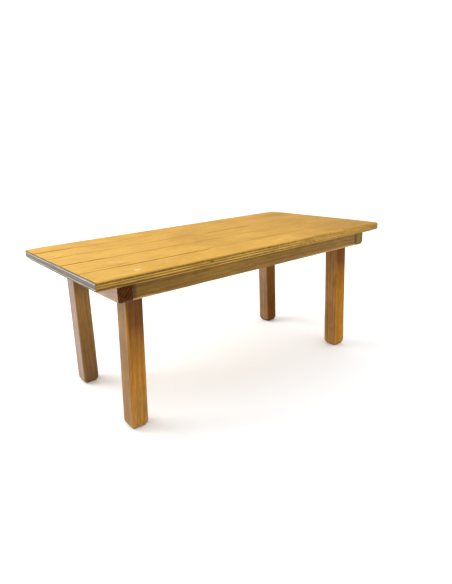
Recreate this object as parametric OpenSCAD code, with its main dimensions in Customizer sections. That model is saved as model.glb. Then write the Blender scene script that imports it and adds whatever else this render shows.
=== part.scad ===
// Miniature dining table: a plywood top on a butt-jointed rail frame, with a square leg in each inner corner.
// Millimetres, +Z up. The origin is on the floor under the middle of the top. +X runs along the table's
// length, and -Y is its front.

/* [Table] */
// Length of the top, along X
top_length = 302; // [220:1:400]
// Width of the top, along Y
top_width = 150; // [130:1:200]
// Height from the floor to the top surface
table_height = 127; // [90:1:160]

/* [Plywood top] */
// Thickness of each of the seven plies
ply_thickness = 1; // [0.8:0.1:1.5]
// Width of the lines scored along the top
groove_width = 0.6; // [0.3:0.1:1.2]
// Depth of the lines scored along the top
groove_depth = 0.4; // [0.2:0.1:0.7]
// Corner radius in plan, front left
corner_front_left = 0.8; // [0.5:0.1:6]
// Corner radius in plan, front right
corner_front_right = 3; // [0.5:0.1:6]
// Corner radius in plan, back left
corner_back_left = 3; // [0.5:0.1:6]
// Corner radius in plan, back right
corner_back_right = 1.6; // [0.5:0.1:6]

/* [Rails] */
// Height of the rails under the top
rail_height = 13; // [11:0.5:20]
// Thickness of the two long rails
long_rail_thickness = 12; // [8:0.5:14]
// Thickness of the two end rails
end_rail_thickness = 11; // [8:0.5:14]
// Overhang of the top past the long rails
side_overhang = 6; // [2:0.5:12]
// Overhang of the top past the end rails
end_overhang = 17; // [5:0.5:30]
// Radius of the long rails' lower outer edge
long_rail_round = 1.2; // [0.5:0.1:3]
// Radius of the left end rail's lower outer edge
left_rail_round = 1; // [0.5:0.1:5]
// Radius of the right end rail's lower outer edge
right_rail_round = 3.5; // [0.5:0.1:5]

/* [Legs] */
// Width of each square leg
leg_width = 14; // [10:0.5:18]
// Radius of the rounded edges under each foot
foot_round = 2.5; // [0.5:0.1:4]
// Radius of the long edges of each leg
leg_edge_round = 0.6; // [0.3:0.1:2]
// How far the front left foot stands out towards its end of the table
front_left_splay = 2.4; // [0:0.1:4]
// How far the front left foot stands in from the front
front_left_tuck = 3.8; // [0:0.1:5]

/* [Pins] */
// Diameter of a pin's shank
pin_diameter = 1; // [0.8:0.1:1.4]
// Diameter of a pin's head
pin_head_diameter = 1.6; // [1.5:0.1:2.2]
// Thickness of a pin's head
pin_head_thickness = 0.5; // [0.3:0.1:0.8]
// Length of a corner pin or a leg pin
rail_pin_length = 19; // [16:0.5:20]
// Length of a pin through the top
top_pin_length = 14; // [11:0.5:15]
// Depth of the filler over each pin
filler_depth = 1; // [0.5:0.1:1.5]

/* [Hidden] */

$fn = 48;

PLIES = 7;
PLANKS = 5;
SIDES = [-1, 1];
// How far a cutting shape runs past the face that it opens
past = 1;

top_underside = table_height - PLIES * ply_thickness;
plank_width = top_width / PLANKS;
frame_length = top_length - 2 * end_overhang;
frame_width = top_width - 2 * side_overhang;
long_rail_length = frame_length - 2 * end_rail_thickness;
rail_underside = top_underside - rail_height;
leg_x = (long_rail_length - leg_width) / 2;
leg_y = (frame_width - leg_width) / 2 - long_rail_thickness;

// Places of the pins: the three kinds cross near each corner, so each has its own lane
corner_pin_y = (frame_width - long_rail_thickness) / 2;
corner_pin_z = rail_underside + 10;
leg_pin_x = leg_x + 3;
leg_pin_z = rail_underside + 7;
top_pin_y = corner_pin_y + 3;
pin_point_length = 1.5;
pin_point_diameter = 0.3;

face_wood = [0.88, 0.66, 0.34];
light_ply = [0.74, 0.58, 0.33];
dark_ply = [0.48, 0.34, 0.14];
long_rail_wood = [0.55, 0.41, 0.20];
end_rail_wood = [0.60, 0.54, 0.44];
leg_wood = [0.68, 0.46, 0.22];
pale_filler = [0.93, 0.88, 0.76];
brown_filler = [0.45, 0.32, 0.16];

// The waste outside a quarter circle, to round a corner that points to +X and +Y
module corner_waste(radius) {
    difference() {
        translate([-radius, -radius])
            square(radius + past);
        translate([-radius, -radius])
            circle(r = radius);
    }
}

// The top's outline in plan, each corner with its own radius
module top_outline() {
    radii = [
        [-1, -1, corner_front_left], [1, -1, corner_front_right],
        [-1, 1, corner_back_left], [1, 1, corner_back_right]
    ];
    difference() {
        square([top_length, top_width], center = true);
        for (corner = radii)
            mirror_to(corner[0], corner[1])
                translate([top_length / 2, top_width / 2])
                    corner_waste(corner[2]);
    }
}

// Mirrors its children, drawn for +X and +Y, to the named side of each axis
module mirror_to(side_x, side_y) {
    mirror([side_x < 0 ? 1 : 0, 0, 0])
        mirror([0, side_y < 0 ? 1 : 0, 0])
            children();
}

// Repeats its children, drawn for the back right corner, at all four corners
module at_four_corners() {
    for (side_x = SIDES, side_y = SIDES)
        mirror_to(side_x, side_y)
            children();
}

// The places of the pins at the back right corner: each puts its children, drawn along +Z below z = 0, into
// the wood from the face that the pin was driven through
module at_corner_pin() {
    translate([frame_length / 2, corner_pin_y, corner_pin_z])
        rotate([0, 90, 0])
            children();
}

module at_leg_pin() {
    translate([leg_pin_x, frame_width / 2, leg_pin_z])
        rotate([-90, 0, 0])
            children();
}

module at_top_pin() {
    translate([leg_x, top_pin_y, table_height])
        children();
}

// A plug of filler, flush with the wood's face at z = 0
module filler() {
    translate([0, 0, -filler_depth])
        cylinder(h = filler_depth, d = pin_head_diameter);
}

// A headed pin, driven in until its head is under the filler
module pin(length) {
    head_z = -filler_depth - pin_head_thickness;
    shank = length - pin_head_thickness - pin_point_length;
    translate([0, 0, head_z])
        cylinder(h = pin_head_thickness, d = pin_head_diameter);
    translate([0, 0, head_z - shank])
        cylinder(h = shank, d = pin_diameter);
    translate([0, 0, head_z - shank - pin_point_length])
        cylinder(h = pin_point_length, d1 = pin_point_diameter, d2 = pin_diameter);
}

// The hole that a pin and its filler make
module pin_hole(length) {
    pin(length);
    filler();
}

// One ply, counted from 1 at the face, drilled for the top pins
module ply(number, wood) {
    underside = table_height - number * ply_thickness;
    color(wood)
        difference() {
            translate([0, 0, underside])
                linear_extrude(height = ply_thickness)
                    top_outline();
            at_four_corners()
                at_top_pin()
                    pin_hole(top_pin_length);
        }
}

// The face ply, scored along its length so that it looks like planks
module face_ply() {
    difference() {
        ply(1, face_wood);
        for (line = [1 : PLANKS - 1])
            translate([-top_length / 2 - past, line * plank_width - top_width / 2 - groove_width / 2,
                       table_height - groove_depth])
                cube([top_length + 2 * past, groove_width, groove_depth + past]);
    }
}

// A rail's cross-section: outer face at x = 0, body towards -X, underside at y = 0, lower outer edge rounded
module rail_section(thickness, edge_round) {
    difference() {
        translate([-thickness, 0])
            square([thickness, rail_height]);
        mirror([0, 1])
            corner_waste(edge_round);
    }
}

// The back long rail, which fits between the end rails
module long_rail() {
    color(long_rail_wood)
        difference() {
            translate([-long_rail_length / 2, frame_width / 2, rail_underside])
                rotate([90, 0, 90])
                    linear_extrude(height = long_rail_length)
                        rail_section(long_rail_thickness, long_rail_round);
            at_four_corners() {
                at_corner_pin()
                    pin_hole(rail_pin_length);
                at_leg_pin()
                    pin_hole(rail_pin_length);
                at_top_pin()
                    pin_hole(top_pin_length);
            }
        }
}

// The right end rail, as wide as the frame, so that its ends show at the front and the back
module end_rail(edge_round) {
    color(end_rail_wood)
        difference() {
            translate([frame_length / 2, frame_width / 2, rail_underside])
                rotate([90, 0, 0])
                    linear_extrude(height = frame_width)
                        rail_section(end_rail_thickness, edge_round);
            at_four_corners()
                at_corner_pin()
                    pin_hole(rail_pin_length);
        }
}

// A square with its corners rounded, centred on the origin
module rounded_square(width, radius) {
    difference() {
        square(width, center = true);
        at_four_corners()
            translate([width / 2, width / 2])
                corner_waste(radius);
    }
}

// A leg seen from its side: a tall rectangle with its two lower corners rounded, standing on y = 0
module leg_side(height) {
    difference() {
        translate([-leg_width / 2, 0])
            square([leg_width, height]);
        for (side_x = SIDES)
            mirror_to(side_x, -1)
                translate([leg_width / 2, 0])
                    corner_waste(foot_round);
    }
}

// A straight leg, centred on the Z axis and standing on z = 0, with its edges and its foot rounded
module straight_leg(height) {
    intersection() {
        linear_extrude(height = height)
            rounded_square(leg_width, leg_edge_round);
        rotate([90, 0, 0])
            translate([0, 0, -leg_width])
                linear_extrude(height = 2 * leg_width)
                    leg_side(height);
        rotate([90, 0, 90])
            translate([0, 0, -leg_width])
                linear_extrude(height = 2 * leg_width)
                    leg_side(height);
    }
}

// The leg at the back right corner. It leans from its top, so that its foot stands out towards the end of the
// table by splay and in from the side by tuck. It is cut level at both ends and flush with the long rail.
module leg(splay = 0, tuck = 0) {
    lean_out = atan(splay / top_underside);
    lean_in = atan(tuck / top_underside);
    waste = leg_width / 2 * (sin(lean_out) + sin(lean_in));
    // Sets a leaning leg in from the end rail, which its upper part would cut into
    rail_clearance = splay * rail_height / top_underside;
    color(leg_wood)
        difference() {
            intersection() {
                translate([leg_x - rail_clearance, leg_y, top_underside])
                    rotate([-lean_in, -lean_out, 0])
                        translate([0, 0, -top_underside - waste])
                            straight_leg(top_underside + 2 * waste);
                cube([top_length, leg_y + leg_width / 2, top_underside]);
            }
            at_leg_pin()
                pin_hole(rail_pin_length);
        }
}

module corner_pins() {
    color("silver")
        at_four_corners()
            at_corner_pin()
                pin(rail_pin_length);
}

module leg_pins() {
    color("silver")
        at_four_corners()
            at_leg_pin()
                pin(rail_pin_length);
}

module top_pins() {
    color("silver")
        at_four_corners()
            at_top_pin()
                pin(top_pin_length);
}

module corner_pin_fillers() {
    color(brown_filler)
        at_four_corners()
            at_corner_pin()
                filler();
}

module leg_pin_fillers() {
    color(brown_filler)
        at_four_corners()
            at_leg_pin()
                filler();
}

module top_pin_fillers() {
    color(pale_filler)
        at_four_corners()
            at_top_pin()
                filler();
}

face_ply();  // ply_1_face
ply(2, dark_ply);  // ply_2_crossband
ply(3, light_ply);  // ply_3_long_grain
ply(4, dark_ply);  // ply_4_core
ply(5, light_ply);  // ply_5_long_grain
ply(6, dark_ply);  // ply_6_crossband
ply(7, light_ply);  // ply_7_back
mirror_to(1, -1) long_rail();  // long_rail_front
long_rail();  // long_rail_back
mirror_to(-1, 1) end_rail(left_rail_round);  // end_rail_left
end_rail(right_rail_round);  // end_rail_right
mirror_to(-1, -1) leg(front_left_splay, front_left_tuck);  // leg_front_left
mirror_to(1, -1) leg();  // leg_front_right
mirror_to(-1, 1) leg();  // leg_back_left
leg();  // leg_back_right
corner_pins();
leg_pins();
top_pins();
corner_pin_fillers();
leg_pin_fillers();
top_pin_fillers();
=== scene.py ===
import math
from collections import namedtuple

import bpy
from mathutils import Euler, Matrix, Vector, noise


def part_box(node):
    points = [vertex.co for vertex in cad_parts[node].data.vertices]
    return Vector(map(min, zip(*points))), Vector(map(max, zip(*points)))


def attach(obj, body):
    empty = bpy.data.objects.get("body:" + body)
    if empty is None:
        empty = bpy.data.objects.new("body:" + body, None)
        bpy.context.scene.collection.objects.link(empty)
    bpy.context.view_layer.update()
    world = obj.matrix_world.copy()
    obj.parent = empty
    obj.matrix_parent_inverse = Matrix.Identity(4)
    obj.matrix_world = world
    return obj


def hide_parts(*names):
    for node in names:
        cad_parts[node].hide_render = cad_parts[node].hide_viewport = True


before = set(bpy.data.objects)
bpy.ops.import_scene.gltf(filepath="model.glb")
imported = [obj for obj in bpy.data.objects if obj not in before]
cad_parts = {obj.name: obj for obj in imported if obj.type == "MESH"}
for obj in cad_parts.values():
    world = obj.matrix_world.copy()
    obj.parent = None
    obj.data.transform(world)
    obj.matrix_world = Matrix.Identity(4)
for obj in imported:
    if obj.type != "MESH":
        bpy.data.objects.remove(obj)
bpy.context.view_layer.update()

MM = 0.001
X, Y, Z = 0, 1, 2
LEFT, RIGHT, FRONT, BACK = -1, 1, -1, 1
# The signs of a square's corners, anticlockwise
SQUARE = ((-1, -1), (1, -1), (1, 1), (-1, 1))

# -------- shapes


def ease(value, low, high):
    """0 at low and 1 at high, with a smooth change between them; low may be the larger."""
    t = min(max((value - low) / (high - low), 0.0), 1.0)
    return t * t * (3 - 2 * t)


def round_inset(depth, radius):
    """How far a rounded edge is still drawn in, at a depth below the face where it starts."""
    left = radius - min(max(depth, 0.0), radius)
    return radius - math.sqrt(radius * radius - left * left)


def wave(point, size, seed):
    """Smooth noise from -1 to 1 whose bumps are about size across, and whose seed moves it."""
    return noise.noise(Vector(point) / size + Vector((seed * 17.3, seed * 5.1, seed * 9.7)))


def make_piece(name, points, faces, node, material, fields, sharp_degrees):
    """A closed mesh that stands for one CAD node, with smooth shading between its sharp edges.

    fields are values per point that its material reads, such as how worn it is there, or how deep its stain
    and painted shade are.
    Wear is patchy up to 1, and lies more and more evenly above that."""
    mesh = bpy.data.meshes.new(name)
    mesh.from_pydata(points, [], faces)
    mesh.shade_smooth()
    mesh.set_sharp_from_angle(angle=math.radians(sharp_degrees))
    mesh.materials.append(material)
    for field, values in fields.items():
        mesh.attributes.new(field, "FLOAT", "POINT").data.foreach_set("value", values)
    piece = bpy.data.objects.new(name, mesh)
    bpy.context.scene.collection.objects.link(piece)
    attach(piece, "root")
    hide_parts(node)


def bridge(lower, upper):
    """Quads between two closed rings of point numbers, facing out when both run anticlockwise from above."""
    count = len(lower)
    return [(lower[k], lower[(k + 1) % count], upper[(k + 1) % count], upper[k]) for k in range(count)]


# -------- the plywood top

PLY_NODES = [
    "ply_1_face", "ply_2_crossband", "ply_3_long_grain", "ply_4_core",
    "ply_5_long_grain", "ply_6_crossband", "ply_7_back",
]
CROSSBANDS = (2, 4, 6)
top_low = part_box("ply_7_back")[0]
top_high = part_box("ply_1_face")[1]
half_length, half_width = top_high.x, top_high.y
top_z = top_high.z
board_thickness = top_high.z - top_low.z
ply_thickness = board_thickness / len(PLY_NODES)

# A corner: its radius in plan, the round-over of its top and under edges, and how far its stain is worn off
Corner = namedtuple("Corner", "plan upper under worn")
CORNERS = {
    (LEFT, FRONT): Corner(0.8 * MM, 0.5 * MM, 0.4 * MM, 1.0),
    (RIGHT, FRONT): Corner(2.0 * MM, 1.8 * MM, 1.7 * MM, 0.4),
    (LEFT, BACK): Corner(2.4 * MM, 2.2 * MM, 1.5 * MM, 0.0),
    (RIGHT, BACK): Corner(4.5 * MM, 1.4 * MM, 0.6 * MM, 1.0),
}
EDGE_ROUND = 0.5 * MM
FRONT_RIGHT_ROUND = 0.9 * MM
UNDER_EDGE_ROUND = 0.25 * MM
CORNER_REACH = 16 * MM
BARE_CORNER = 5 * MM

PLANKS = 5
plank_width = 2 * half_width / PLANKS
groove_lines = [(line - PLANKS / 2) * plank_width for line in range(1, PLANKS)]
GROOVE_HALF_WIDTH = 0.55 * MM
GROOVE_DEPTH = 0.42 * MM
STROKE_FADE = 8 * MM
FACE_UNEVENNESS = 0.03 * MM

# The knife strokes: groove number, how far each strays from its line and where it starts and ends, in
# millimetres, and its strength: above 1 it is wider, and not deeper
STROKES = [
    (0, 3.0, -142, -112, 0.35),
    (0, -2.6, -151, -118, 0.95),
    (0, -3.4, -120, -42, 1.6),
    (0, -0.8, -40, 50, 0.28),
    (0, -0.8, 50, 150, 0.12),
    (1, 1.4, -151, -118, 2.1),
    (1, 0.2, -120, -62, 0.75),
    (1, 0.2, -60, -44, 0.9),
    (1, -0.6, -44, 20, 0.5),
    (1, -0.6, 20, 60, 0.25),
    (1, -0.6, 60, 150, 0.1),
    (2, 1.8, -151, -96, 0.55),
    (2, 1.0, -96, -10, 0.35),
    (2, -1.0, 0, 56, 1.5),
    (2, 0.6, 60, 150, 0.13),
    (3, 2.6, -151, -118, 2.3),
    (3, 1.8, -120, -88, 0.8),
    (3, 1.0, -90, 30, 0.3),
    (3, 1.0, 30, 150, 0.12),
]
stroke_lines = sorted({groove_lines[number] + stray * MM for number, stray, _, _, _ in STROKES})

# The face's grid stops this far inside the outline, and rings carry it on to the edge
MARGIN = 5 * MM
CORNER_ZONE = 10 * MM
CORNER_STEPS = [s * MM for s in (0, 0.2, 0.4, 0.8, 1.2, 1.6, 2.4, 3.6, 5, 7.5, 10)]
GROOVE_STEPS = [s * MM for s in (-1.3, -1, -0.7, -0.45, -0.25, 0, 0.25, 0.45, 0.7, 1, 1.3)]


def spaced(low, high, extra, step):
    """Grid positions from low to high: fine at both ends, at the extra places, and about a step apart."""
    fixed = [low + s for s in CORNER_STEPS] + [high - s for s in CORNER_STEPS] + extra
    fixed.sort()
    places = [fixed[0]]
    for place in fixed[1:]:
        gap = place - places[-1]
        if gap < 0.05 * MM:
            continue
        parts = max(1, round(gap / step))
        start = places[-1]
        places += [start + gap * part / parts for part in range(1, parts + 1)]
    return places


grid_x = spaced(MARGIN - half_length, half_length - MARGIN, [], 1.0 * MM)
grid_y = spaced(MARGIN - half_width, half_width - MARGIN,
                [line + step for line in stroke_lines for step in GROOVE_STEPS], 2.5 * MM)


def groove_depth(x, y):
    """Depth of the scored lines at a point of the face: cut by hand, so each stroke has its own strength."""
    deepest = 0.0
    for number, stray, start, end, strength in STROKES:
        line = groove_lines[number] + stray * MM
        half = GROOVE_HALF_WIDTH * max(1.0, strength)
        if abs(y - line) > 2 * half:
            continue
        off = abs(y - line - 0.15 * MM * wave((x, 0, 0), 40 * MM, number + 3))
        if off < half:
            along = ease(x, start * MM - STROKE_FADE / 2, start * MM + STROKE_FADE / 2)
            along *= ease(x, end * MM + STROKE_FADE / 2, end * MM - STROKE_FADE / 2)
            uneven = 1 + 0.35 * wave((x, 0, 0), 9 * MM, number + 20)
            depth = min(strength, 1.0) * along * uneven * math.cos(off / half * math.pi / 2) ** 0.6
            deepest = max(deepest, GROOVE_DEPTH * min(depth, 1.0))
    return deepest


def face_hollow(x, y):
    """The slight unevenness of the sanded face, as a depth below its highest level."""
    return FACE_UNEVENNESS * (1 + wave((x, y, 0), 38 * MM, 1)) / 2


# Where the face is paler or deeper: centre and reach in millimetres, and tone, which is above 0 where
# it is paler and below 0 where it is deeper. The small patches are the veneer's blotchy stain; the broad pale
# ones at the left end and the deep ones at the right end are painted light and sheen, falling off from left
# to right.
FACE_STAIN_AND_LIGHT_PATCHES = [
    ((-150, -10), (95, 130), 0.4),
    ((-22, 5), (50, 100), -0.2),
    ((40, 10), (60, 120), -0.1),
    ((22, -64), (28, 18), 0.3),
    ((20, 75), (130, 40), -0.12),
    ((150, 0), (150, 160), -0.4),
    ((122, 50), (28, 24), -0.15),
    ((105, -70), (75, 40), -0.35),
    ((-140, -75), (35, 40), 0.35),
]


def face_tone(x, y):
    """How pale or deep the face's colour is at a point: its stain, with painted light paler at the left end
    and painted shade deeper at the right.
    """
    tone = 0.08 * wave((x, 2 * y, 0), 45 * MM, 91)
    for (centre_x, centre_y), (reach_x, reach_y), amount in FACE_STAIN_AND_LIGHT_PATCHES:
        away = math.hypot((x / MM - centre_x) / reach_x, (y / MM - centre_y) / reach_y)
        tone += amount * ease(away, 1.0, 0.0)
    return tone


def outline_point(x, y):
    """Where a point on the rim of the face's grid meets the outline, and the way out from there."""
    side_x, side_y = math.copysign(1, x), math.copysign(1, y)
    along_x = half_length - MARGIN - abs(x)
    along_y = half_width - MARGIN - abs(y)
    on_long_side = along_y < along_x
    from_corner = max(along_x, along_y)
    radius = CORNERS[(side_x, side_y)].plan
    if from_corner >= CORNER_ZONE:
        if on_long_side:
            return Vector((x, side_y * half_width)), Vector((0, side_y))
        return Vector((side_x * half_length, y)), Vector((side_x, 0))
    half_arc = radius * math.pi / 4
    run = from_corner / CORNER_ZONE * (MARGIN + CORNER_ZONE - radius + half_arc)
    turn = math.pi / 4 * min(run / half_arc, 1.0)
    angle = math.pi / 4 + (turn if on_long_side else -turn)
    way = Vector((math.cos(angle), math.sin(angle)))
    straight = max(run - half_arc, 0.0)
    point = Vector((half_length - radius, half_width - radius)) + way * radius
    point -= Vector((straight, 0)) if on_long_side else Vector((0, straight))
    return (Vector((side_x * point.x, side_y * point.y)), Vector((side_x * way.x, side_y * way.y)))


def rim():
    """The numbers (column, row) of the grid's rim, anticlockwise from the front left corner."""
    last_x, last_y = len(grid_x) - 1, len(grid_y) - 1
    front = [(i, 0) for i in range(last_x)]
    right = [(last_x, j) for j in range(last_y)]
    back = [(i, last_y) for i in range(last_x, 0, -1)]
    left = [(0, j) for j in range(last_y, 0, -1)]
    return front + right + back + left


RIM = rim()
RIM_POINTS = [Vector((grid_x[i], grid_y[j])) for i, j in RIM]
OUTLINE = [outline_point(p.x, p.y) for p in RIM_POINTS]


def edge_rounds(point):
    """Radii of the top and under edges' round-over at a place on the outline, and how worn they are.

    The radii are larger round the worn corners."""
    side_x, side_y = math.copysign(1, point.x), math.copysign(1, point.y)
    corner = CORNERS[(side_x, side_y)]
    tip = Vector((side_x * half_length, side_y * half_width))
    near = ease((point - tip).length, CORNER_REACH, BARE_CORNER)
    uneven = 1 + 0.35 * wave((point.x, point.y, 0), 25 * MM, 7)
    on_front = ease(point.y, -half_width + 1 * MM, -half_width)
    rubbed = EDGE_ROUND + FRONT_RIGHT_ROUND * ease(point.x, -30 * MM, 90 * MM) * on_front
    upper = rubbed * uneven * (1 - near) + corner.upper * near
    under = UNDER_EDGE_ROUND * uneven * (1 - near) + corner.under * near
    return upper, under, 1 + (corner.worn - 1) * near


EDGE_ROUNDS = [edge_rounds(point) for point, _ in OUTLINE]

# Gaps in the front edge: ply number, then place along it, half length and depth in millimetres
EDGE_GAPS = [
    (3, -59, 2.4, 0.9),
    (4, -38, 1.6, 0.5),
    (5, 54, 1.8, 0.6),
    (4, 94, 2.0, 0.6),
    (7, -128, 9.0, 0.5),
]

# How far each glue line lies above an even share of the board, from the face down, and how far it strays from
# there in long waves and in short ones
SEAM_OFFSETS = [0, -0.25 * MM, -0.4 * MM, -0.3 * MM, 0, -0.1 * MM, -0.2 * MM, 0]
SEAM_SLOW_STRAY = 0.25 * MM
SEAM_QUICK_STRAY = 0.15 * MM
SEAM_HOLLOW = 0.07 * MM
END_GRAIN_ROUGHNESS = 0.05 * MM
LONG_GRAIN_ROUGHNESS = 0.02 * MM


def seam_shift(number, point):
    """How far the glue line under a ply lies above its even share at a place on the outline."""
    if number in (0, len(PLY_NODES)):
        return 0.0
    slow = wave((point.x, point.y, 0), 30 * MM, 30 + number)
    quick = wave((point.x, point.y, 0), 6 * MM, 40 + number)
    return SEAM_OFFSETS[number] + SEAM_SLOW_STRAY * slow + SEAM_QUICK_STRAY * quick


def sanded(x):
    """How far the glue lines are sanded away at a place along the edge: most at the right."""
    return ease(x, -20 * MM, 90 * MM)


def edge_gap(number, level, point, way):
    """Depth of a gap at a place in a ply's edge; level runs from 0 at the ply's top to 1 at its underside."""
    gap = 0.0
    for ply, place, half, depth in EDGE_GAPS:
        if ply == number and way.y < -0.7:
            along = ease(abs(point.x / MM - place), half, 0.3 * half)
            gap += depth * MM * along * math.sin(math.pi * level)
    return gap


def edge_hollow(number, level, point, way):
    """How far a ply's edge lies in from the outline: at its glue lines, between fibres and in its gaps."""
    at_seam = ease(level, 0.12, 0.0) + ease(level, 0.88, 1.0)
    seam = SEAM_HOLLOW * at_seam * (1 - 0.7 * sanded(point.x))
    shows_end_grain = (abs(way.y) > 0.7) == (number in CROSSBANDS)
    rough = END_GRAIN_ROUGHNESS if shows_end_grain else LONG_GRAIN_ROUGHNESS
    fibres = rough * (1 + wave((point.x, point.y, number), 1.3 * MM, 50 + number))
    return seam + fibres + edge_gap(number, level, point, way)


def edge_tone(number, place):
    """Tone on a ply's edge: deeper near the front left corner, most of all in the lower plies, which is
    painted shade.

    It lies deeper low down and near the corner at the right, and on the crossbands of the left end."""
    near_corner = ease(place.x, -95 * MM, -135 * MM) * ease(place.y, 0, -half_width)
    tone = 0.4 * wave((place.x, place.y, number), 11 * MM, 60 + number)
    # Painted shade on the lower plies near the front left corner
    tone -= 0.42 * near_corner * ease(number, 3, 6) + 0.2 * ease(number, 5, 7)
    tone -= 0.32 * sanded(place.x) * ease(number, 1, 4) + 0.2 * ease(place.x, 112 * MM, 140 * MM)
    if number in CROSSBANDS:
        at_left_end = ease(place.x, -half_length + 10 * MM, -half_length + 5 * MM)
        tone -= 0.35 * at_left_end * ease(place.y, -45 * MM, -10 * MM)
    return tone


def edge_bleach(number, place):
    """How evenly pale a ply's edge is: end grain more and more to the right, long grain at the right end."""
    if number in CROSSBANDS:
        return 1.6 * ease(place.x, -150 * MM, 110 * MM)
    return 1.4 * ease(place.x, half_length - 5 * MM, half_length - 1 * MM)


# Where the rings of points lie across a ply's edge, from its top to its underside
FACE_PLY_LEVELS = (0.0, 0.02, 0.07, 0.15, 0.27, 0.42, 0.6, 0.8, 0.92, 1.0)
OTHER_LEVELS = (0.0, 0.06, 0.14, 0.35, 0.65, 0.86, 0.94, 1.0)


def edge_point(number, level, point, way, rounds):
    """A point on a ply's edge, below a point of the outline: its place, and its fields by name."""
    upper, under, rubbed = rounds
    shift = seam_shift(number - 1, point) * (1 - level) + seam_shift(number, point) * level
    depth = (number - 1 + level) * ply_thickness - shift
    height = board_thickness - depth
    gap = edge_gap(number, level, point, way)
    inset = round_inset(depth, upper) + round_inset(height, under)
    inset += edge_hollow(number, level, point, way)
    place = point - way * inset
    at_arris = max(ease(depth, upper, 0.6 * upper), ease(height, under, 0.5 * under)) * rubbed
    glue_and_gap_shade = max(ease(level, 0.2, 0.0) if number > 1 else 0.0, ease(level, 0.8, 1.0))
    glue_and_gap_shade *= 1 - 0.85 * sanded(place.x)
    # Darker in the edge's gaps: painted shade
    glue_and_gap_shade = max(glue_and_gap_shade, ease(gap, 0.05 * MM, 0.4 * MM))
    cut, sunk = 0.0, 0.0
    tone = edge_tone(number, place)
    if number == 1:
        cut = groove_depth(place.x, place.y) * (1 - level)
        sunk = cut + face_hollow(place.x, place.y) * (1 - level)
        below_face = 0.38 - 0.28 * ease(place.x, -110 * MM, 0)
        tone = face_tone(place.x, place.y) - below_face * ease(level, 0.15, 0.8)
    wear = max(at_arris, edge_bleach(number, place))
    fields = {"score": cut / GROOVE_DEPTH, "wear": wear, "tone": tone, "glue_and_gap_shade": glue_and_gap_shade}
    return (place.x, place.y, top_z - depth - sunk), fields


def ply_piece(number, material):
    """One ply: a top sheet, rings down its edge, and a bottom sheet.

    The face ply's top sheet is the scored grid. The other sheets are plain."""
    node = PLY_NODES[number - 1]
    upper_z = top_z - (number - 1) * ply_thickness
    points, faces = [], []
    fields = {"score": [], "wear": [], "tone": [], "glue_and_gap_shade": []}

    def add(place, **values):
        points.append(place)
        for field, column in fields.items():
            column.append(values.get(field, 0.0))
        return len(points) - 1

    def add_face_point(x, y):
        depth = groove_depth(x, y)
        place = (x, y, upper_z - depth - face_hollow(x, y))
        return add(place, score=depth / GROOVE_DEPTH, tone=face_tone(x, y))

    if number == 1:
        grid = [[add_face_point(x, y) for y in grid_y] for x in grid_x]
        for i in range(len(grid_x) - 1):
            for j in range(len(grid_y) - 1):
                faces.append((grid[i][j], grid[i + 1][j], grid[i + 1][j + 1], grid[i][j + 1]))
        outer = [grid[i][j] for i, j in RIM]
        for share in (0.5, 0.25):
            nearer = []
            for inside, (point, way), (upper, _, _) in zip(RIM_POINTS, OUTLINE, EDGE_ROUNDS):
                place = (point - way * upper).lerp(inside, share)
                nearer.append(add_face_point(place.x, place.y))
            faces += bridge(nearer, outer)
            outer = nearer
    else:
        outer = [add((p.x, p.y, upper_z)) for p in RIM_POINTS]
        faces.append(tuple(outer))

    for level in FACE_PLY_LEVELS if number == 1 else OTHER_LEVELS:
        ring = []
        for (point, way), rounds in zip(OUTLINE, EDGE_ROUNDS):
            place, values = edge_point(number, level, point, way, rounds)
            ring.append(add(place, **values))
        faces += bridge(ring, outer)
        outer = ring
    lower_z = upper_z - ply_thickness
    inner = [add((p.x, p.y, lower_z)) for p in RIM_POINTS]
    faces += bridge(inner, outer)
    faces.append(tuple(reversed(inner)))

    make_piece(node + "_veneer", points, faces, node, material, fields, sharp_degrees=60)


# -------- rails and legs

ARC_STEPS = 6
STATION_STEP = 4 * MM
# Places across a flat side: each one's distance in from the arris, and its greatest share of the side
SIDE_STEPS = ((0.5 * MM, 0.12), (1.2 * MM, 0.25), (3.0 * MM, 0.4))


def stations(length, start_round, end_round):
    """Places along a stick: close together at its rounded ends, and about STATION_STEP apart between them."""
    turns = [math.pi / 2 * k / ARC_STEPS for k in range(ARC_STEPS + 1)]
    start = [start_round * (1 - math.cos(turn)) for turn in turns]
    end = [length - end_round * (1 - math.cos(turn)) for turn in reversed(turns)]
    middle = length - start_round - end_round
    parts = max(1, round(middle / STATION_STEP))
    between = [start_round + middle * part / parts for part in range(1, parts)]
    return start + between + end


def ring_outline(half, drawn_in, radii, rubbed):
    """The stick's section at one station, anticlockwise: points (u, v) and how worn each one is.

    rubbed is how worn each of the four arrises is."""
    corners = []
    for (side_u, side_v), radius, worn in zip(SQUARE, radii, rubbed):
        reach = [h - drawn_in - radius for h in half]
        first = math.atan2(side_v, side_u) - math.pi / 4
        arc = []
        for k in range(ARC_STEPS + 1):
            angle = first + math.pi / 2 * k / ARC_STEPS
            arc.append((side_u * reach[0] + radius * math.cos(angle),
                        side_v * reach[1] + radius * math.sin(angle), worn))
        corners.append(arc)
    outline = []
    for arc, following in zip(corners, corners[1:] + corners[:1]):
        start, end = Vector(arc[-1][:2]), Vector(following[0][:2])
        span = (end - start).length
        way = (end - start) / span
        near = [min(distance, share * span) for distance, share in SIDE_STEPS]
        steps = near + [span / 2] + [span - s for s in reversed(near)]
        outline += arc
        for s in steps:
            worn = arc[-1][2] * ease(s, RUBBED_WIDTH, 0.0)
            worn += following[0][2] * ease(span - s, RUBBED_WIDTH, 0.0)
            outline.append((*(start + way * s), worn))
    return outline


# How wide and how worn the rim round an end face is, how far the sides stray from flat, how far inside the
# CAD faces they stay, and how far from an arris its wear reaches
END_RIM = 0.6 * MM
END_WEAR = 0.1
SIDE_STRAY = 0.07 * MM
SKIN = 0.02 * MM
RUBBED_WIDTH = 1.2 * MM


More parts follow.
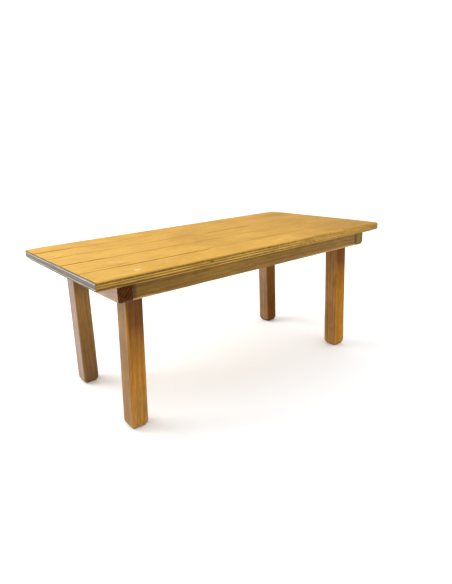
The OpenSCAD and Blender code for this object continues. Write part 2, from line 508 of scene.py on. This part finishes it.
def stick_piece(node, material, axis, arrises, ends, seed, tone, low=None, high=None, lean=(0, 0),
                rubbed=(1, 1, 1, 1), faded=None, wear_and_highlight_at=None, drawn_out=1.0):
    """A squared length of wood along an axis, with its long edges and its ends rounded by hand.

    arrises are the radii of its four long edges, in the order (-,-), (+,-), (+,+), (-,+) of the two axes that
    follow the long one. ends are the radii at its low and high end, and drawn_out is how many times longer
    the low end's rounding is than it is deep. tone gives how deep or pale its colour is at a place: its
    stain, and on the legs and the long rails painted light and shade too. faded gives how far a painted cool
    sheen lies there. low and high are the upright stick's corners, if they differ from the node's, and lean
    moves its low end along the two axes. rubbed is how worn each long edge is, and wear_and_highlight_at
    gives the share of that at a place; on the front rail's and the left end rail's lower outer edges that
    pale worn colour also paints a highlight."""
    if low is None:
        low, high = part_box(node)
    across = ((axis + 1) % 3, (axis + 2) % 3)
    length = high[axis] - low[axis]
    centre = (low + high) / 2
    half = [(high[a] - low[a]) / 2 for a in across]
    points, rings = [], []
    fields = {"wear": [], "tone": [], "faded": []}
    sections = [(t, 0.0) for t in stations(length, ends[0] * drawn_out, ends[1])]
    for t, within in [(0.0, END_RIM)] + sections + [(length, END_RIM)]:
        drawn_in = round_inset(t / drawn_out, ends[0]) + round_inset(length - t, ends[1])
        at_end = max(ease(t, ends[0], 0.0), ease(length - t, ends[1], 0.0))
        radii = [radius * (1 + 0.3 * wave((t, corner, 0), 18 * MM, seed)) + 0.9 * drawn_in
                 for corner, radius in enumerate(arrises)]
        ring = []
        for u, v, worn in ring_outline(half, drawn_in + within, radii, rubbed):
            place = [0.0, 0.0, 0.0]
            place[axis] = low[axis] + t
            place[across[0]] = centre[across[0]] + u
            place[across[1]] = centre[across[1]] + v
            fields["tone"].append(tone(Vector(place)))
            fields["faded"].append(faded(Vector(place)) if faded else 0.0)
            if wear_and_highlight_at:
                worn *= wear_and_highlight_at(Vector(place))
            fields["wear"].append(0.0 if within else max(worn * (1 - at_end), END_WEAR * at_end))
            for number, a in enumerate(across):
                shift = SIDE_STRAY * wave(place, 22 * MM, seed + number + 1)
                place[a] = min(max(place[a] + shift, low[a] + SKIN), high[a] - SKIN)
                place[a] += lean[number] * (1 - t / length)
            ring.append(len(points))
            points.append(tuple(place))
        rings.append(ring)
    faces = [tuple(reversed(rings[0])), tuple(rings[-1])]
    for ring, following in zip(rings, rings[1:]):
        faces += bridge(ring, following)
    make_piece(node + "_wood", points, faces, node, material, fields, sharp_degrees=40)


# -------- pins and filler

TURNS = 20
HOLE_RADIUS = 0.8 * MM


def turned_piece(name, node, material, profile, axis, bare_at=None):
    """Several small round pieces as one: a profile of (distance below the face, radius) turned in each hole.

    The CAD node has four solids, one near each corner of its box, which open to the outside along the axis.
    bare_at is the corner where the varnish has come off the piece."""
    low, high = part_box(node)
    radius = max(r for _, r in profile)
    points, faces = [], []
    fields = {"wear": [], "bare": []}
    others = [a for a in (X, Y, Z) if a != axis]
    spread = [a for a in (X, Y) if a != axis]
    for side_x in (LEFT, RIGHT):
        for side_y in (FRONT, BACK):
            side = {X: side_x, Y: side_y}
            mouth = [0.0, 0.0, (low.z + high.z) / 2]
            for a in spread:
                mouth[a] = high[a] - radius if side[a] > 0 else low[a] + radius
            out = side.get(axis, 1)
            mouth[axis] = high[axis] if out > 0 else low[axis]
            first = len(points)
            for depth, r in profile:
                for turn in range(TURNS):
                    angle = 2 * math.pi * turn / TURNS
                    point = list(mouth)
                    point[axis] -= out * depth
                    point[others[0]] += r * math.cos(angle)
                    point[others[1]] += r * math.sin(angle)
                    points.append(tuple(point))
                    fields["wear"].append(ease(depth, 0.1 * MM, 0.0) * r / radius)
                    fields["bare"].append(1.0 if (side_x, side_y) == bare_at else 0.0)
            rings = [list(range(first + n * TURNS, first + (n + 1) * TURNS)) for n in range(len(profile))]
            outward = out if axis != Y else -out
            made = [tuple(rings[0]), tuple(reversed(rings[-1]))]
            for upper, lower in zip(rings, rings[1:]):
                made += bridge(lower, upper)
            faces += made if outward > 0 else [tuple(reversed(face)) for face in made]
    make_piece(name, points, faces, node, material, fields, sharp_degrees=35)


# -------- materials


class Recipe:
    """One material's nodes. Most methods add a node and give back its result, for the next one to use.

    Places are in millimetres in the piece's own frame, so a pattern keeps to the piece."""

    def __init__(self, name):
        self.material = bpy.data.materials.new(name)
        self.material.use_nodes = True
        self.tree = self.material.node_tree
        self.shader = self.tree.nodes["Principled BSDF"]
        coordinates = self.tree.nodes.new("ShaderNodeTexCoord")
        self.normal = coordinates.outputs["Normal"]
        self.place = self.vector("SCALE", coordinates.outputs["Object"], scale=1 / MM)

    def node(self, kind, sockets, **settings):
        made = self.tree.nodes.new("ShaderNode" + kind)
        for key, value in settings.items():
            setattr(made, key, value)
        for key, value in sockets.items():
            self.feed(made.inputs[key], value)
        return made

    def feed(self, socket, value):
        if isinstance(value, bpy.types.NodeSocket):
            self.tree.links.new(value, socket)
        else:
            socket.default_value = value

    def vector(self, operation, first, second=(0, 0, 0), scale=1.0):
        made = self.node("VectorMath", {0: first, 1: second, 3: scale}, operation=operation)
        single = operation in ("LENGTH", "DOT_PRODUCT")
        return made.outputs["Value" if single else "Vector"]

    def maths(self, operation, first, second=0.0, clamp=False):
        return self.node("Math", {0: first, 1: second}, operation=operation, use_clamp=clamp).outputs[0]

    def times(self, first, second, clamp=False):
        return self.maths("MULTIPLY", first, second, clamp)

    def plus(self, first, second, clamp=False):
        return self.maths("ADD", first, second, clamp)

    def noise(self, place, size, detail=2.0, rough=0.5):
        sockets = {"Vector": place, "Scale": 1 / size, "Detail": detail, "Roughness": rough}
        return self.node("TexNoise", sockets).outputs["Fac"]

    def fade(self, value, low, high, start=0.0, end=1.0):
        """Runs smoothly from start, where the value is low, to end, where it is high."""
        sockets = {"Value": value, "From Min": low, "From Max": high, "To Min": start, "To Max": end}
        return self.node("MapRange", sockets, interpolation_type="SMOOTHSTEP").outputs["Result"]

    def mix(self, share, first, second, blend="MIX"):
        made = self.node("Mix", {}, data_type="RGBA", blend_type=blend)
        for number, value in ((0, share), (6, first), (7, second)):
            if isinstance(value, tuple):
                value = (*value, 1)
            self.feed(made.inputs[number], value)
        return made.outputs[2]

    def field(self, name):
        return self.node("Attribute", {}, attribute_name=name).outputs["Fac"]

    def surface(self, colour, roughness):
        self.feed(self.shader.inputs["Base Color"], colour)
        self.feed(self.shader.inputs["Roughness"], roughness)

    def bump(self, height, distance, strength):
        sockets = {"Height": height, "Distance": distance, "Strength": strength}
        self.feed(self.shader.inputs["Normal"], self.node("Bump", sockets).outputs["Normal"])


# What a colour is multiplied by where it lies deeper, from stain and painted shade, or paler, from stain and
# painted light, and the tints of the painted cool sheen on faces turned to the window
DEEP_STAIN_AND_SHADE = (0.40, 0.32, 0.19)
PALE_STAIN_AND_LIGHT = (1.16, 1.26, 1.9)
COOL_SHEEN = (0.88, 1.12, 8.0)
OLIVE_SHEEN = (0.84, 1.30, 6.8)

# Colours of one kind of wood: early and late wood along the grain, end grain between the rings and in them,
# and bare worn wood
Wood = namedtuple("Wood", "early late end_pale end_dark bare")

# A speckled mark: its middle in millimetres, its colour, and its reach in millimetres
Mark = namedtuple("Mark", "place colour reach")


class WoodRecipe(Recipe):
    """The nodes of varnished wood whose fibres run along an axis: its figure, and the steps that colour it.

    pith is where the tree's middle lay, in millimetres along the two axes across the grain. It is None for
    rotary veneer, which is peeled off the log, and whose figure is broad and wandering."""

    def __init__(self, name, axis, seed, ring_width, pith):
        super().__init__(name)
        self.axis = axis
        self.rotary = pith is None
        self.shifted = self.vector("ADD", self.place, (seed * 37.0, seed * 61.0, seed * 23.0))
        self.drawn_out = self.along_grain(0.05)
        self.ring = self.rings(ring_width, pith)
        self.fibre = self.noise(self.along_grain(0.02), 0.55, detail=4.0, rough=0.65)
        self.streak = self.noise(self.drawn_out, 2.6, detail=3.0, rough=0.6)
        self.pore = self.fade(self.noise(self.drawn_out, 0.42, detail=1.0), 0.63, 0.72)
        self.cloud = self.noise(self.shifted, 26.0, detail=3.0, rough=0.55)
        self.mottle = self.noise(self.shifted, 5.0, detail=3.0, rough=0.6)
        self.end_on = self.facing_end()

    def along(self, share, others=1.0):
        """A vector with the share along the grain and the others across it."""
        return tuple(share if axis == self.axis else others for axis in (X, Y, Z))

    def along_grain(self, share):
        """Places that move on by only a share along the grain, which draws a pattern out that way."""
        return self.vector("MULTIPLY", self.shifted, self.along(share))

    def rings(self, width, pith):
        """Growth rings where the surface cuts through them: rising to 1 in late wood, and 0 in early wood."""
        sway = self.noise(self.drawn_out, 14.0, rough=0.45)
        if self.rotary:
            broad = self.noise(self.along_grain(0.35), 42.0, detail=1.5, rough=0.4)
            depth = self.times(self.plus(broad, self.times(sway, 0.35)), width)
        else:
            off_pith = [-p for p in pith]
            off_pith.insert(self.axis, 0.0)
            from_pith = self.vector("ADD", self.place, tuple(off_pith))
            from_pith = self.vector("MULTIPLY", from_pith, self.along(0.0))
            swayed = self.times(self.maths("SUBTRACT", sway, 0.5), 9.0)
            depth = self.plus(self.vector("LENGTH", from_pith), swayed)
            depth = self.maths("DIVIDE", depth, width)
        phase = self.maths("FRACT", depth)
        return self.times(self.fade(phase, 0.15, 0.85), self.fade(phase, 1.0, 0.88))

    def facing_end(self):
        """1 where the surface cuts across the grain, and 0 where it runs along it."""
        cut_across = self.maths("ABSOLUTE", self.vector("DOT_PRODUCT", self.normal, self.along(1.0, 0.0)))
        return self.fade(cut_across, 0.4, 0.75)

    def side_colour(self, early, late, contrast):
        """Colour along the grain: rings, streaks and fibres, with pores and short flecks."""
        share = self.times(self.ring, 0.55)
        share = self.plus(share, self.fade(self.streak, 0.3, 0.7, -0.12, 0.34))
        share = self.plus(share, self.fade(self.fibre, 0.3, 0.7, -0.1, 0.14))
        if not self.rotary:
            brush = self.noise(self.along_grain(0.1), 1.2, rough=0.6)
            share = self.plus(share, self.fade(brush, 0.36, 0.64, -0.17, 0.3))
        share = self.times(share, contrast, clamp=True)
        colour = self.mix(share, early, late)
        pores = self.times(self.pore, 0.45 * contrast)
        flecks = self.fade(self.noise(self.along_grain(0.16), 0.9), 0.6, 0.74)
        specks = self.maths("MAXIMUM", pores, self.times(flecks, 0.3))
        return self.mix(specks, colour, darker(late, 0.45))

    def end_colour(self, pale, dark):
        """Colour across the grain: a ply's short cut fibres, or a solid stick's broken rings."""
        if self.rotary:
            flattened = self.vector("MULTIPLY", self.shifted, (1.0, 1.0, 0.4))
            grainy = self.noise(flattened, 0.7, detail=3.0, rough=0.6)
            cloudy = self.fade(self.cloud, 0.35, 0.65, 0.0, 0.4)
            share = self.plus(self.fade(grainy, 0.3, 0.7, 0.0, 0.6), cloudy)
        else:
            breaks = self.fade(self.noise(self.shifted, 3.0), 0.35, 0.62, 0.25, 0.9)
            mottled = self.fade(self.mottle, 0.35, 0.7, 0.0, 0.4)
            share = self.plus(self.times(self.ring, breaks), mottled, clamp=True)
        return self.mix(share, pale, dark)

    def clouded(self, colour, amount):
        """The colour, a little lighter and darker in broad clouds and in small mottles."""
        clouds = self.fade(self.cloud, 0.3, 0.7, 1 - amount, 1 + amount)
        mottles = self.fade(self.mottle, 0.25, 0.75, 1 - amount / 2, 1 + amount / 2)
        level = self.times(clouds, mottles)
        grey = self.node("CombineXYZ", {0: level, 1: level, 2: level}).outputs[0]
        return self.mix(1.0, colour, grey, "MULTIPLY")

    def tinted(self, share, colour, tint):
        """The colour, multiplied by the tint to a share."""
        return self.mix(share, colour, self.mix(1.0, colour, tint, "MULTIPLY"))

    def stained_and_shaded(self, colour):
        """The colour with its stain, and the painted light and shade that the tone field also carries, deeper
        or paler as the tone field says.
        """
        tone = self.field("tone")
        colour = self.tinted(self.times(tone, -1.0, clamp=True), colour, DEEP_STAIN_AND_SHADE)
        return self.tinted(self.times(tone, 1.0, clamp=True), colour, PALE_STAIN_AND_LIGHT)

    def torn(self, colour, bare, amount):
        """The colour, with bare torn fibres as specks in the end grain."""
        stretched = self.vector("MULTIPLY", self.shifted, (0.5, 1.0, 1.2))
        specks = self.times(self.fade(self.noise(stretched, 0.8), 0.58, 0.66), self.end_on)
        return self.mix(self.times(specks, amount), colour, bare)

    def worn(self):
        """How far the finish is worn off: in patches up to a wear of 1, and evenly by what is above that."""
        patches = self.fade(self.noise(self.drawn_out, 3.2, detail=3.0, rough=0.7), 0.42, 0.6)
        wear = self.field("wear")
        patchy = self.times(wear, self.times(patches, 0.6), clamp=True)
        return self.maths("MAXIMUM", patchy, self.maths("SUBTRACT", wear, 1.0, clamp=True))

    def lined(self, colour, late):
        """The colour, with dark glue lines, painted shade in the gaps of the plies' edges, and dark scored
        lines.
        """
        glue = self.times(self.field("glue_and_gap_shade"), self.fade(self.streak, 0.25, 0.6, 0.45, 0.85), clamp=True)
        colour = self.mix(glue, colour, darker(late, 0.35))
        cut = self.maths("POWER", self.field("score"), 0.5)
        cut = self.times(cut, self.fade(self.mottle, 0.3, 0.7, 0.7, 1.0), clamp=True)
        return self.mix(cut, colour, darker(late, 0.27))

    def marked(self, colour, mark):
        """The colour, with the specks of a mark."""
        away = self.vector("LENGTH", self.vector("SUBTRACT", self.place, mark.place))
        within = self.fade(away, 0.3 * mark.reach, mark.reach, 0.9, 0.0)
        specks = self.times(self.fade(self.noise(self.place, 1.1), 0.46, 0.54), within)
        return self.mix(specks, colour, mark.colour)

    def varnish(self, colour, worn, level, shine):
        """Finishes the material: the varnish is duller where it is worn and on the ends."""
        dull = self.plus(worn, self.times(self.end_on, 0.5))
        roughness = self.fade(self.fibre, 0.3, 0.7, level - 0.06, level + 0.08)
        roughness = self.plus(roughness, self.times(dull, 0.2))
        self.surface(colour, roughness)
        self.shader.inputs["Specular IOR Level"].default_value = shine
        height = self.plus(self.times(self.ring, 0.35), self.times(self.fibre, 0.8))
        height = self.maths("SUBTRACT", height, self.times(self.pore, 0.6))
        end_relief = self.times(self.times(self.mottle, self.end_on), 1.2)
        self.bump(self.plus(height, end_relief), 0.05 * MM, 0.5)


def darker(colour, share):
    """A colour at a share of its brightness."""
    return tuple(share * c for c in colour)


def wood(name, axis, colours, seed, ring_width, contrast, roughness, shine, pith=None, cloudiness=0.1,
         mark=None, torn=0.0, faded=COOL_SHEEN):
    """Varnished wood whose fibres run along an axis: a sawn stick if it has a pith, or else a veneer.

    contrast is how strongly the figure shows, roughness and shine are the varnish's, torn is how far bare
    fibres show in the end grain, and faded is the tint the painted cool sheen multiplies the colour by."""
    make = WoodRecipe(name, axis, seed, ring_width, pith)
    side = make.side_colour(colours.early, colours.late, contrast)
    end = make.end_colour(colours.end_pale, colours.end_dark)
    colour = make.clouded(make.mix(make.end_on, side, end), cloudiness)
    colour = make.stained_and_shaded(colour)
    if torn:
        colour = make.torn(colour, colours.bare, torn)
    # The painted cool sheen of the window, on faces turned to it
    colour = make.tinted(make.field("faded"), colour, faded)
    worn = make.worn()
    colour = make.mix(worn, colour, colours.bare)
    colour = make.lined(colour, colours.late)
    if mark:
        colour = make.marked(colour, mark)
    make.varnish(colour, worn, roughness, shine)
    return make.material


def beside(node, axis, offset):
    """Where the tree's middle lay: this far from the piece's own middle, on the two axes across its grain."""
    low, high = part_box(node)
    across = [a for a in (X, Y, Z) if a != axis]
    return tuple((low[a] + high[a]) / 2 / MM + away for a, away in zip(across, offset))


def putty(name, varnished, bare, deep, seed):
    """Wood filler: fine-grained, darker where it meets the hole, and paler where it lies bare of varnish."""
    make = Recipe(name)
    place = make.vector("ADD", make.place, (seed * 11.0, seed * 7.0, seed * 3.0))
    grit = make.noise(place, 0.25, detail=3.0, rough=0.7)
    patch = make.noise(place, 1.4, detail=2.0)
    share = make.plus(make.fade(grit, 0.35, 0.7, 0.0, 0.5), make.fade(patch, 0.4, 0.7, 0.0, 0.3))
    share = make.plus(share, make.times(make.field("wear"), 0.25), clamp=True)
    colour = make.mix(make.field("bare"), varnished, bare)
    colour = make.mix(make.times(share, 0.6), colour, deep)
    make.surface(colour, make.fade(grit, 0.3, 0.7, 0.6, 0.8))
    make.bump(grit, 0.03 * MM, 0.6)
    return make.material


def wire_steel(name):
    """Brad wire: dull mottled grey, with a brown bloom here and there."""
    make = Recipe(name)
    dull = make.noise(make.place, 0.4, detail=3.0, rough=0.6)
    bloom = make.fade(make.noise(make.place, 1.8, detail=4.0, rough=0.65), 0.52, 0.68)
    metal = make.mix(make.fade(dull, 0.3, 0.7), (0.34, 0.34, 0.35), (0.5, 0.5, 0.5))
    colour = make.mix(make.times(bloom, 0.7), metal, (0.16, 0.07, 0.03))
    roughness = make.plus(make.fade(dull, 0.3, 0.7, 0.28, 0.42), make.times(bloom, 0.35))
    make.surface(colour, roughness)
    make.shader.inputs["Metallic"].default_value = 1.0
    make.bump(dull, 0.01 * MM, 0.3)
    return make.material


def paper(name):
    """The studio floor: matt white paper with a faint fibre mottle."""
    make = Recipe(name)
    mottle = make.noise(make.place, 90.0, detail=3.0, rough=0.6)
    colour = make.mix(mottle, (0.93, 0.93, 0.93), (0.96, 0.96, 0.955))
    make.surface(colour, make.fade(mottle, 0.3, 0.7, 0.85, 0.95))
    make.shader.inputs["Specular IOR Level"].default_value = 0.1
    make.bump(make.noise(make.place, 0.8, detail=3.0), 0.02 * MM, 0.2)
    return make.material


# early, late, end_pale, end_dark, bare
FACE_BIRCH = Wood((0.558, 0.305, 0.0455), (0.446, 0.223, 0.027),
    (0.16, 0.125, 0.08), (0.09, 0.07, 0.045), (0.64, 0.38, 0.08))
LAYER_WOOD = Wood((0.52, 0.295, 0.047), (0.355, 0.19, 0.026),
    (0.14, 0.124, 0.10), (0.09, 0.078, 0.062), (0.56, 0.34, 0.07))
CROSS_WOOD = Wood((0.385, 0.335, 0.275), (0.285, 0.248, 0.20),
    (0.22, 0.108, 0.007), (0.09, 0.037, 0.002), (0.45, 0.24, 0.034))
CORE_WOOD = Wood((0.175, 0.15, 0.12), (0.135, 0.115, 0.09),
    (0.29, 0.152, 0.016), (0.16, 0.08, 0.007), (0.45, 0.24, 0.034))
RAIL_WOOD = Wood((0.25, 0.13, 0.018), (0.148, 0.07, 0.008),
    (0.20, 0.10, 0.014), (0.10, 0.046, 0.006), (0.58, 0.38, 0.13))
# The left end rail's side colours are pale and grey, which paints the window's sheen on its outer face
LEFT_END_WOOD_AND_SHEEN = Wood((0.40, 0.285, 0.205), (0.31, 0.215, 0.15),
    (0.088, 0.027, 0.003), (0.024, 0.006, 0.0006), (0.42, 0.38, 0.29))
RIGHT_END_WOOD = Wood((0.30, 0.20, 0.10), (0.21, 0.13, 0.06),
    (0.235, 0.15, 0.022), (0.12, 0.075, 0.009), (0.30, 0.18, 0.05))
RED_LEG_WOOD = Wood((0.372, 0.157, 0.0127), (0.21, 0.076, 0.004),
    (0.18, 0.09, 0.02), (0.09, 0.04, 0.008), (0.46, 0.23, 0.04))
GOLDEN_LEG_WOOD = RED_LEG_WOOD._replace(early=(0.42, 0.173, 0.0078), late=(0.245, 0.085, 0.0027))
PALE_LEG_WOOD = Wood((0.285, 0.149, 0.033), (0.187, 0.089, 0.0145),
    (0.16, 0.08, 0.02), (0.08, 0.035, 0.008), (0.36, 0.22, 0.10))
DARK_LEG_WOOD = PALE_LEG_WOOD._replace(early=(0.34, 0.150, 0.0115), late=(0.187, 0.072, 0.0032),
                                       bare=(0.40, 0.20, 0.04))

# -------- the plywood, made

# A chip round the bare filler, and a spot of gum on the front edge near its right end
filler_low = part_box("top_pin_fillers")[0]
bare_filler = ((filler_low.x + HOLE_RADIUS) / MM, (filler_low.y + HOLE_RADIUS) / MM, top_z / MM)
chip = Mark(bare_filler, (0.85, 0.72, 0.48), 3.2)
gum = Mark((half_length / MM - 8, -half_width / MM, top_z / MM - 4), (0.26, 0.07, 0.015), 5.0)


def ply_look(number):
    """The material of a ply, which runs along the table, or across it in a crossband and in the core."""
    if number == 1:
        return wood("face_veneer", X, FACE_BIRCH, seed=1, ring_width=9.0, contrast=0.45, roughness=0.6,
                    shine=0.06, cloudiness=0.07, mark=chip)
    axis, colours, torn = X, LAYER_WOOD, 0.0
    if number in CROSSBANDS:
        axis, colours, torn = Y, CORE_WOOD if number == 4 else CROSS_WOOD, 0.5
    return wood(PLY_NODES[number - 1] + "_look", axis, colours, seed=10 + number, ring_width=7.0,
                contrast=0.8, roughness=0.42, shine=0.15, mark=gum, torn=torn)


for number in range(1, len(PLY_NODES) + 1):
    ply_piece(number, ply_look(number))

# -------- the rails and legs, made

rail_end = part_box("long_rail_front")[1].x


def rail_tone(place):
    """The long rails are darker towards their left end, a painted shade, and their stain is deeper in the
    joints at both ends.
    """
    in_joint = ease(abs(place.x), rail_end - 2.2 * MM, rail_end - 1.0 * MM)
    return -0.25 * ease(place.x, -40 * MM, -120 * MM) - in_joint + 0.15 * wave(place, 35 * MM, 95)


def lower_edge_wear_and_highlight(place):
    """The front rail's lower edge is pale towards its ends, over the legs: rubbed bare, and a painted
    highlight where floor light catches the edge.
    """
    return max(ease(place.x, 20 * MM, 80 * MM), ease(place.x, -90 * MM, -108 * MM), 0.15)


def end_rail_tone(place):
    """The end rails' stain is even, but deeper where they meet the long rails."""
    in_joint = ease(abs(place.x), rail_end + 1.1 * MM, rail_end + 0.3 * MM)
    return 0.12 * wave(place, 30 * MM, 96) - 0.9 * in_joint


def at_left_face(place, left_face):
    """1 on a leg's left face, and 0 past the rounded edges beside it."""
    return ease(place.x, left_face + 1.2 * MM, left_face)


def leg_tone(at_top, at_foot, on_left, left_face, seed):
    """Tone that changes from the top of a leg to its foot, with a level of its own on the left face.

    The change down the leg is partly its stain and partly painted light and shade: deeper under the tabletop,
    paler at the front legs' feet where floor light reaches them, and deeper at the back legs' feet in the
    table's shade. The left face's level is partly stain and partly painted window light. It is always darker
    close under the rails, a painted shade."""
    def tone(place):
        down = ease(place.z, 95 * MM, 10 * MM)
        # Painted shade close under the rails
        near_rail = -0.8 * ease(place.z, 76 * MM, 102 * MM)
        depth = at_top * (1 - down) + at_foot * down + near_rail
        depth += (on_left + 0.25 * near_rail - depth) * at_left_face(place, left_face)
        return depth + 0.12 * wave(place, 24 * MM, seed)
    return tone


def left_sheen(amount, left_face):
    """How far a leg takes the painted cool sheen's tint: on its left face, where it paints the window's
    sheen, and a little near its foot.
    """
    def sheen(place):
        return max(amount * at_left_face(place, left_face), 0.09 * ease(place.z, 45 * MM, 12 * MM))
    return sheen


SOFT = 0.35 * MM
LOWER_ARRIS = 1.2 * MM
RAIL_END = 0.7 * MM
LEFT_RAIL_ARRIS = 1.0 * MM
RIGHT_RAIL_ARRIS = 3.5 * MM
front_look = wood("long_rail_look", X, RAIL_WOOD, seed=2, ring_width=2.2, contrast=0.8, roughness=0.42,
                  shine=0.15, pith=beside("long_rail_front", X, (20, 14)))
back_look = wood("back_rail_look", X, RAIL_WOOD, seed=3, ring_width=2.0, contrast=0.8, roughness=0.42,
                 shine=0.15, pith=beside("long_rail_back", X, (-18, 16)))
left_look = wood("left_end_rail_look", Y, LEFT_END_WOOD_AND_SHEEN, seed=4, ring_width=2.6, contrast=0.5,
                 roughness=0.36, shine=0.03, pith=beside("end_rail_left", Y, (17, -17)))
right_look = wood("right_end_rail_look", Y, RIGHT_END_WOOD, seed=5, ring_width=1.9, contrast=0.6,
                  roughness=0.4, shine=0.12, pith=beside("end_rail_right", Y, (-12, 16)))
# Along X the section's axes are (Y, Z); along Y they are (Z, X); along Z they are (X, Y)
# The front rail's lower outer edge is worn pale, which also paints the highlight of floor light catching it
stick_piece("long_rail_front", front_look, X, (LOWER_ARRIS, SOFT, SOFT, SOFT), (SOFT, SOFT),
            seed=60, tone=rail_tone, rubbed=(1.5, 0.4, 0.4, 0.4), wear_and_highlight_at=lower_edge_wear_and_highlight)
stick_piece("long_rail_back", back_look, X, (SOFT, LOWER_ARRIS, SOFT, SOFT), (SOFT, SOFT),
            seed=64, tone=rail_tone)
# The left end rail's lower outer edge is worn pale, which also paints a highlight of floor light catching it
stick_piece("end_rail_left", left_look, Y, (LEFT_RAIL_ARRIS, SOFT, SOFT, SOFT),
            (RAIL_END, RAIL_END), seed=68, tone=end_rail_tone, rubbed=(1.3, 0.1, 0.1, 0.1))
stick_piece("end_rail_right", right_look, Y, (SOFT, SOFT, SOFT, RIGHT_RAIL_ARRIS),
            (RAIL_END, RAIL_END), seed=72, tone=end_rail_tone, rubbed=(0.3, 0.3, 0.3, 0.3))

FOOT_ROUND = 2.5 * MM
FOOT_DRAWN_OUT = 2.0
LEG_ARRIS = 0.7 * MM
# A leg's wood; its tone at its top, at its foot and on its left face, which is partly its stain and partly
# painted light and shade; the tint of the painted cool sheen on that face and how far it lies; how rubbed the
# front edge of that face is, where the tree's middle lay, and its shine
Leg = namedtuple("Leg", "wood at_top at_foot on_left faded_to faded rubbed pith shine")
LEGS = {
    "leg_front_left": Leg(RED_LEG_WOOD, -0.95, 0.75, -0.42, OLIVE_SHEEN, 0.48, 0.7, (20, 9), 0.16),
    "leg_front_right": Leg(GOLDEN_LEG_WOOD, -0.55, 0.2, -0.25, COOL_SHEEN, 0.95, 0.1, (-8, 22), 0.05),
    "leg_back_left": Leg(PALE_LEG_WOOD, -0.05, -0.7, 0.34, OLIVE_SHEEN, 0.32, 0.6, (16, -18), 0.2),
    "leg_back_right": Leg(DARK_LEG_WOOD, -0.65, -1.0, -0.15, COOL_SHEEN, 1.0, 0.1, (-24, -8), 0.05),
}
straight_low, straight_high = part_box("leg_front_right")
leg_width = straight_high.x - straight_low.x
for number, (node, leg) in enumerate(LEGS.items()):
    look = wood(node + "_look", Z, leg.wood, seed=20 + number, ring_width=2.9, contrast=0.72,
                roughness=0.4, shine=leg.shine, pith=beside(node, Z, leg.pith), faded=leg.faded_to)
    low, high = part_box(node)
    # A leaning leg's box is wider than the leg: its top is at the box's right and front
    lean = (leg_width - (high.x - low.x), (high.y - low.y) - leg_width)
    low = Vector((high.x - leg_width, low.y, low.z))
    high = Vector((high.x, low.y + leg_width, high.z))
    tone = leg_tone(leg.at_top, leg.at_foot, leg.on_left, low.x, 97 + number)
    stick_piece(node, look, Z, (LEG_ARRIS,) * 4, (FOOT_ROUND, SOFT), seed=80 + 5 * number, tone=tone,
                low=low, high=high, lean=lean, rubbed=(leg.rubbed, 0.35, 0.35, 0.35),
                faded=left_sheen(leg.faded, low.x), drawn_out=FOOT_DRAWN_OUT)

# -------- the pins and filler, made

steel = wire_steel("brad_steel")
pale_putty = putty("pale_putty", (0.58, 0.32, 0.05), (0.95, 0.93, 0.84), (0.50, 0.26, 0.045), 1)
brown_putty = putty("brown_putty", (0.17, 0.085, 0.012), (0.30, 0.18, 0.05), (0.09, 0.042, 0.006), 2)
PLUG = [(0.0, 0.7 * MM), (0.03 * MM, HOLE_RADIUS), (1.0 * MM, HOLE_RADIUS)]
turned_piece("top_filler", "top_pin_fillers", pale_putty, PLUG, Z, bare_at=(LEFT, FRONT))
turned_piece("corner_filler", "corner_pin_fillers", brown_putty, PLUG, X)
turned_piece("leg_filler", "leg_pin_fillers", brown_putty, PLUG, Y)
SHANK_RADIUS = 0.5 * MM
BRAD_HEAD = [(0.0, 0.7 * MM), (0.05 * MM, HOLE_RADIUS), (0.45 * MM, HOLE_RADIUS), (0.5 * MM, SHANK_RADIUS)]
POINT_LENGTH = 1.5 * MM
TOP_PIN_LENGTH = 14 * MM
RAIL_PIN_LENGTH = 19 * MM


def brad(length):
    """A brad's profile: its small head, its shank and its point."""
    return BRAD_HEAD + [(length - POINT_LENGTH, SHANK_RADIUS), (length, 0.15 * MM)]


turned_piece("top_brads", "top_pins", steel, brad(TOP_PIN_LENGTH), Z)
turned_piece("corner_brads", "corner_pins", steel, brad(RAIL_PIN_LENGTH), X)
turned_piece("leg_brads", "leg_pins", steel, brad(RAIL_PIN_LENGTH), Y)

# -------- stage, light and camera

world = bpy.data.worlds.new("studio")
bpy.context.scene.world = world
world.use_nodes = True
sky = world.node_tree.nodes["Background"]
sky.inputs["Color"].default_value = (0.96, 0.98, 1.0, 1)
sky.inputs["Strength"].default_value = 1.28

FLOOR_HALF = 12.0
# Just below the feet, so that the floor doesn't share their plane
FLOOR_LEVEL = -0.05 * MM
floor_corners = [(x * FLOOR_HALF, y * FLOOR_HALF, FLOOR_LEVEL) for x, y in SQUARE]
floor_mesh = bpy.data.meshes.new("floor")
floor_mesh.from_pydata(floor_corners, [], [(0, 1, 2, 3)])
floor_mesh.materials.append(paper("floor_paper"))
floor = bpy.data.objects.new("floor", floor_mesh)
bpy.context.scene.collection.objects.link(floor)

# The window: a soft light behind the table, to its left
window = bpy.data.lights.new("key", "AREA")
window.size = 0.9
window.energy = 12
window.color = (0.94, 0.97, 1.0)
window_place = Vector((-0.75, 0.85, 0.75))
window_aim = Vector((0, 0, 0.1))
light = bpy.data.objects.new("key", window)
light.location = window_place
light.rotation_euler = (window_aim - window_place).to_track_quat("-Z", "Y").to_euler()
bpy.context.scene.collection.objects.link(light)

camera_data = bpy.data.cameras.new("camera")
camera = bpy.data.objects.new("camera", camera_data)
bpy.context.scene.collection.objects.link(camera)
camera.location = (-260.5 * MM, -343.9 * MM, 203.1 * MM)
camera.rotation_euler = Euler((math.radians(76.09), math.radians(2.54), math.radians(-37.43)))
camera_data.lens = 28.77
camera_data.shift_x = 0.0239
camera_data.shift_y = -0.0433
bpy.context.scene.camera = camera
bpy.context.scene.view_settings.view_transform = "Standard"
